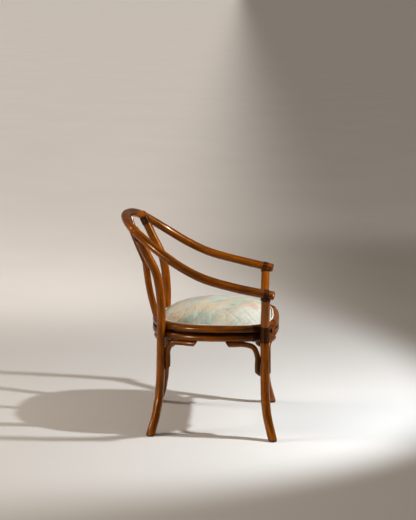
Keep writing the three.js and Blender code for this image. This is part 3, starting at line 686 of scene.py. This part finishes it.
def plywood_finish():
    """Pale plywood: long grain on the faces, thin dark glue lines through the edges."""
    f = Finish("plywood")
    at = f.node("ShaderNodeTexCoord", {}, {}, out=3)
    grain = stretched(f, at, (14, 260, 260), detail=4, roughness=0.6)
    figure = stretched(f, at, (3, 22, 22), detail=3, distortion=1.2)
    ply = f.node("ShaderNodeTexWave", {"wave_type": "BANDS", "bands_direction": "Z"}, {
        "Vector": at, "Scale": 175.0, "Distortion": 0.6, "Detail": 1.0,
    })
    colour = ramp(f, grain * 0.5 + figure * 0.5, (0.35, (0.30, 0.17, 0.075)), (0.65, (0.50, 0.33, 0.17)))
    colour = mixed(f, ramp(f, ply, (0.0, 0.5), (0.12, 0.0)), colour, (0.16, 0.08, 0.03))
    return f.surface(Base_Color=colour, Roughness=0.55 + 0.25 * grain, Normal=bumped(f, grain, 0.3, 0.0004))


def rail_finish():
    """Softwood rail, stained dark brown and blotched, with its grain along X."""
    f = Finish("stained_rail")
    at = f.node("ShaderNodeTexCoord", {}, {}, out=3)
    grain = stretched(f, at, (9, 300, 300), detail=4, roughness=0.6)
    blot = stretched(f, at, (1, 1, 1), 40.0, detail=3)
    colour = ramp(f, grain * 0.6 + blot * 0.4, (0.35, (0.035, 0.011, 0.003)), (0.65, (0.110, 0.040, 0.012)))
    return f.surface(Base_Color=colour, Roughness=0.5 + 0.3 * grain, Normal=bumped(f, grain, 0.3, 0.0004))


def steel_finish():
    """Zinc-plated screw: brushed round, with a few dull spots."""
    f = Finish("zinc_steel")
    at = f.node("ShaderNodeTexCoord", {}, {}, out=3)
    spot = stretched(f, at, (1, 1, 1), 700.0, detail=3)
    brush = stretched(f, at, (60, 60, 2500), detail=2)
    colour = ramp(f, spot, (0.35, (0.42, 0.41, 0.38)), (0.65, (0.66, 0.65, 0.61)))
    return f.surface(
        Base_Color=colour, Metallic=1.0, Roughness=0.28 + 0.25 * spot,
        Normal=bumped(f, brush, 0.15, 0.0002))


def coat_cad(finish, *names):
    """Gives one finish to CAD pieces whose shape is already the real one."""
    for name in names:
        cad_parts[name].data.materials.clear()
        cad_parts[name].data.materials.append(finish)


coat_cad(plywood_finish(), "seat_board")
coat_cad(rail_finish(), "seat_rail_front", "seat_rail_rear")
coat_cad(steel_finish(), *(f"board_screw_{number}" for number in (1, 2, 3, 4)))


# Seat pad. A round foam pad under a printed cotton cover, drawn in at its edge and domed in the
# middle. It drops inside the upper ring.

pad_middle = -0.0615
# Up to this height over the ring's centre line the cover keeps its place as it swells
seam_height = 0.0145


def pad_skin(inset=0.012, back=0.019, crown=0.054, rest=0.4154, rows=40, around=240):
    """The pad from its bottom to its crown: outlines that shrink as cos^0.72 and rise as crown sin^1.12.

    A waist of 5 mm, as sin, draws the lowest 34% of the side in.
    """
    turn = np.linspace(0, np.pi / 2, rows, endpoint=False)
    side = np.clip(turn / (np.pi / 2 * 0.34), 0, 1)
    scales, heights = np.cos(turn) ** 0.72, crown * np.sin(turn) ** 1.12
    levels = []
    for scale, height, waist in zip(scales, heights, 0.005 * np.sin(np.pi * side)):
        line = seat_outline(inset + waist, rest + height, around, back + waist)
        line[:, 2] += (line[:, 1] - pad_middle) * (1 - scale) * tilt
        line[:, 0] *= scale
        line[:, 1] = (line[:, 1] - pad_middle) * scale + pad_middle
        levels.append(line)
    return np.array(levels)


def cotton_finish():
    """Printed cotton: cream cloth with soft washes of sage, peach and pink, and fine plain weave."""
    f = Finish("printed_cotton")
    cloth = f.node("ShaderNodeAttribute", {"attribute_name": "cloth"}, out=1)
    weave_x = f.node("ShaderNodeTexWave", {"bands_direction": "X"}, {"Vector": cloth, "Scale": 450.0})
    weave_y = f.node("ShaderNodeTexWave", {"bands_direction": "Y"}, {"Vector": cloth, "Scale": 450.0})
    over = f.node("ShaderNodeTexChecker", {}, {"Vector": cloth, "Scale": 1430.0}, out=1)
    weave = weave_x * over + weave_y * (1 - over)
    turned = f.node("ShaderNodeMapping", {}, {"Vector": cloth, "Rotation": (0.0, 0.0, 0.6)})
    sweep = stretched(f, turned, (3.4, 8.5, 1), detail=3, distortion=0.9)
    sage = ramp(f, sweep, (0.40, 0.0), (0.56, 1.0))
    one, two, three = (
        f.node("ShaderNodeVectorMath", {"operation": "ADD"}, {0: turned, 1: shift})
        for shift in ((3.7, 1.9, 0.0), (9.1, 4.3, 0.0), (1.3, 7.7, 0.0)))
    peach = ramp(f, stretched(f, one, (4, 9, 1), detail=3, distortion=0.7), (0.50, 0.0), (0.62, 1.0))
    pink = ramp(f, stretched(f, two, (5, 8, 1), detail=3, distortion=0.7), (0.52, 0.0), (0.64, 1.0))
    vein = abs(stretched(f, three, (5, 14, 1), detail=2, distortion=1.6) - 0.5)
    stroke = ramp(f, vein * 10.0, (0.04, 1.0), (0.26, 0.0)) * ramp(f, sweep, (0.46, 0.0), (0.60, 1.0))
    colour = mixed(f, sage * 0.9, (0.60, 0.59, 0.50), (0.41, 0.495, 0.39))
    colour = mixed(f, peach * 0.65, colour, (0.67, 0.47, 0.29))
    colour = mixed(f, pink * 0.8, colour, (0.54, 0.35, 0.28))
    colour = mixed(f, stroke * 0.9, colour, (0.16, 0.28, 0.20))
    colour = mixed(f, 0.35, colour, ramp(f, weave, (0.0, 0.72), (0.6, 1.0)), "MULTIPLY")
    return f.surface(
        Base_Color=colour, Roughness=0.82, Sheen_Weight=0.15, Sheen_Roughness=0.5,
        Normal=bumped(f, weave, 0.35, 0.0003))


def places(mesh):
    """Where a mesh's vertices are, one row each."""
    flat = np.empty(len(mesh.vertices) * 3, np.float32)
    mesh.vertices.foreach_get("co", flat)
    return flat.reshape(-1, 3)


def plump(made, frames=20, cap=0.005):
    """Swells a pad as foam swells its cover: remeshed, blown up by cloth pressure, held to a small move."""
    made.select_set(True)
    bpy.context.view_layer.objects.active = made
    remesh = made.modifiers.new("remesh", "REMESH")
    remesh.mode, remesh.voxel_size = "VOXEL", 0.005
    bpy.ops.object.modifier_apply(modifier=remesh.name)
    rest = places(made.data)
    cloth = made.modifiers.new("cloth", "CLOTH")
    cloth.settings.use_pressure, cloth.settings.uniform_pressure_force = True, 4.0
    cloth.settings.effector_weights.gravity = 0
    cloth.settings.mass = 0.3
    cloth.settings.tension_stiffness = cloth.settings.compression_stiffness = 12
    group = made.vertex_groups.new(name="seam")
    low = rest[:, 2] + (rest[:, 1] - ring_widest) * tilt < ring_height + seam_height
    group.add(np.nonzero(low)[0].tolist(), 1.0, "REPLACE")
    cloth.settings.vertex_group_mass = "seam"
    scene = bpy.context.scene
    for number in range(1, frames + 1):
        scene.frame_set(number)
    move = places(made.evaluated_get(bpy.context.evaluated_depsgraph_get()).to_mesh()) - rest
    made.modifiers.remove(cloth)
    scene.frame_set(1)
    size = np.linalg.norm(move, axis=1)[:, None]
    move *= np.minimum(1, cap / np.maximum(size, 1e-9))
    made.data.vertices.foreach_set("co", (rest + move).ravel())
    made.vertex_groups.clear()
    made.data.update()


def mark_cloth(made):
    """Marks the cover's flat coordinates: the plan direction times the way down from the crown."""
    place = places(made.data)
    flat = place[:, :2] - [0, pad_middle]
    reach = np.linalg.norm(flat, axis=1)
    height = place[:, 2] + (place[:, 1] - ring_widest) * tilt
    down = reach + 0.7 * (height.max() - height)
    cloth = np.zeros_like(place)
    cloth[:, :2] = flat * (down / np.maximum(reach, 1e-6))[:, None]
    made.data.attributes.new("cloth", "FLOAT_VECTOR", "POINT").data.foreach_set("vector", cloth.ravel())


cotton = cotton_finish()
pad = piece("pad_cover", pad_skin(), cotton, "seat_pad")
plump(pad)
pad.data.polygons.foreach_set("use_smooth", np.ones(len(pad.data.polygons), bool))
mark_cloth(pad)
rounding = pad.modifiers.new("rounding", "SUBSURF")
rounding.levels = rounding.render_levels = 1


# Piping. A cord in a bias strip of the plain cream cotton, sewn along the cover's lower edge, where
# it rests on the ring.

def piping_finish():
    """Cream cotton over cord: diagonal weave and a little soiling."""
    f = Finish("cream_piping")
    cane = f.node("ShaderNodeAttribute", {"attribute_name": "cane"}, out=1)
    weave = f.node("ShaderNodeTexWave", {"bands_direction": "DIAGONAL"}, {"Vector": cane, "Scale": 330.0})
    soil = stretched(f, cane, (18, 200, 200), detail=3)
    colour = ramp(f, soil, (0.3, (0.70, 0.66, 0.56)), (0.7, (0.80, 0.77, 0.67)))
    colour = mixed(f, 0.4, colour, ramp(f, weave, (0.0, 0.7), (0.6, 1.0)), "MULTIPLY")
    return f.surface(
        Base_Color=colour, Roughness=0.85, Sheen_Weight=0.15, Normal=bumped(f, weave + soil, 0.4, 0.0003))


cord_diameter, cord_inset, cord_gap = 0.005, 0.0105, 0.0004
cord_away = (ring_diameter + cord_diameter) / 2 + seating_gap
cord_height = ring_height + np.sqrt(cord_away ** 2 - cord_inset ** 2)
cord_path = bend(seat_outline(cord_inset, cord_height, 48, cord_inset + 0.007), 0.003, closed=True)
grid, marks = pole(
    cord_path, cord_diameter, (0, 0, 1), start=cord_gap / 2,
    end=lengths_along(cord_path)[-1] - cord_gap / 2, around=20, arris=0.0004)
piece("pad_piping", grid, piping_finish(), "seat_piping", marks)


# Foot caps. A dark rubber disc is nailed under each leg.

def rubber_finish():
    """Moulded rubber: nearly black brown, with paler scuffed patches."""
    f = Finish("foot_rubber")
    at = f.node("ShaderNodeTexCoord", {}, {}, out=3)
    scuff = stretched(f, at, (1, 1, 3), 260.0, detail=4)
    colour = ramp(f, scuff, (0.4, (0.012, 0.008, 0.006)), (0.7, (0.045, 0.034, 0.028)))
    return f.surface(Base_Color=colour, Roughness=0.5 + 0.3 * scuff, Normal=bumped(f, scuff, 0.3, 0.0003))


coat_cad(rubber_finish(), *(f"foot_cap_{place}_{side}" for place, side in leg_paths))


# The room. A pale floor that runs out of sight, one lamp in front of the chair whose cone ends on
# the floor beside it, and soft panels behind it. One of them only shows in the varnish. Two long
# panels light the floor far away. The camera stands at the chair's right side, a little above it.

def floor_finish():
    """Painted studio floor: warm white, matt, faintly uneven."""
    f = Finish("studio_floor")
    at = f.node("ShaderNodeTexCoord", {}, {}, out=3)
    patch = stretched(f, at, (1, 1, 1), 1.3, detail=4)
    colour = ramp(f, patch, (0.3, (0.765, 0.755, 0.742)), (0.7, (0.795, 0.785, 0.772)))
    return f.surface(Base_Color=colour, Roughness=0.85)


floor_reach = 150.0
floor_corners = [(x * floor_reach, y * floor_reach, 0) for x, y in ((-1, -1), (1, -1), (1, 1), (-1, 1))]
floor_mesh = bpy.data.meshes.new("floor")
floor_mesh.from_pydata(floor_corners, [], [(0, 1, 2, 3)])
floor_mesh.materials.append(floor_finish())
floor = bpy.data.objects.new("floor", floor_mesh)
bpy.context.scene.collection.objects.link(floor)

world = bpy.data.worlds.new("soft_light")
world.use_nodes = True
sky = world.node_tree.nodes["Background"]
sky.inputs["Color"].default_value = (1.0, 0.84, 0.69, 1)
sky.inputs["Strength"].default_value = 0.16
bpy.context.scene.world = world
bpy.context.scene.view_settings.view_transform = "Standard"


def set_up(name, data, place, ahead, roll=0.0):
    """A lamp or camera at a place, looking ahead, level but for its roll."""
    ahead = ahead / np.linalg.norm(ahead)
    across = np.cross(ahead, (0, 0, 1))
    across /= np.linalg.norm(across)
    upward = np.cross(across, ahead)
    turned = np.cos(roll) * across + np.sin(roll) * upward
    turn = np.stack([turned, np.cos(roll) * upward - np.sin(roll) * across, -ahead], axis=1)
    made = bpy.data.objects.new(name, data)
    made.matrix_world = Matrix([[*row, at] for row, at in zip(turn, place)] + [[0, 0, 0, 1]])
    bpy.context.scene.collection.objects.link(made)
    return made


def lamp(name, kind, watts, colour, place, aim, **settings):
    """A lamp at a place, turned to its aim."""
    data = bpy.data.lights.new(name, kind)
    data.energy, data.color = watts, colour
    for key, value in settings.items():
        setattr(data, key, value)
    return set_up(name, data, place, np.subtract(aim, place))


lamp("key_lamp", "SPOT", 144, (0.94, 0.98, 1.0), (-0.215, -1.33, 1.54), (0.58, 0.46, 0.10),
     shadow_soft_size=0.035, spot_size=np.radians(86), spot_blend=0.48)
lamp("fill_panel", "AREA", 10, (1.0, 0.84, 0.68), (-3.4, 2.2, 1.0), (0.0, 0.0, 0.40), size=1.2)
gloss = lamp("gloss_panel", "AREA", 85, (1.0, 0.90, 0.78), (-3.0, 2.3, 1.3), (0.0, 0.0, 0.40), size=0.6)
gloss.visible_diffuse = False
lamp("top_panel", "AREA", 58, (1.0, 0.88, 0.76), (-0.3, 3.0, 2.5), (0.0, 0.1, 0.55), size=0.9)
for name, watts, middle, wide, long in (
    ("backdrop_panel", 4360, (70.75, 9.35, 2), 17, 138.6), ("far_panel", 920, (72.1, -8.13, 2), 18, 135.8),
):
    # The aim is straight down, and a hair along the view, which turns the panel's long side that way
    panel = lamp(name, "AREA", watts, (1.0, 0.92, 0.85), middle, np.add(middle, (0.001, 0.000014, -2)),
                 shape="RECTANGLE", size=wide, size_y=long, spread=np.radians(55))
    panel.visible_camera = False

yaw, pitch, roll = 0.032174, 0.190219, 0.018356
ahead = np.array([np.cos(pitch) * np.cos(yaw), np.cos(pitch) * np.sin(yaw), -np.sin(pitch)])
focal_pixels, picture_height = 1469.74, 520
camera = bpy.data.cameras.new("photo_camera")
camera.sensor_fit, camera.sensor_height = "VERTICAL", 36.0
camera.lens = camera.sensor_height * focal_pixels / picture_height
camera.clip_end = 500
bpy.context.scene.camera = set_up("photo_camera", camera, (-5.4394, -0.2022, 1.6708), ahead, roll)
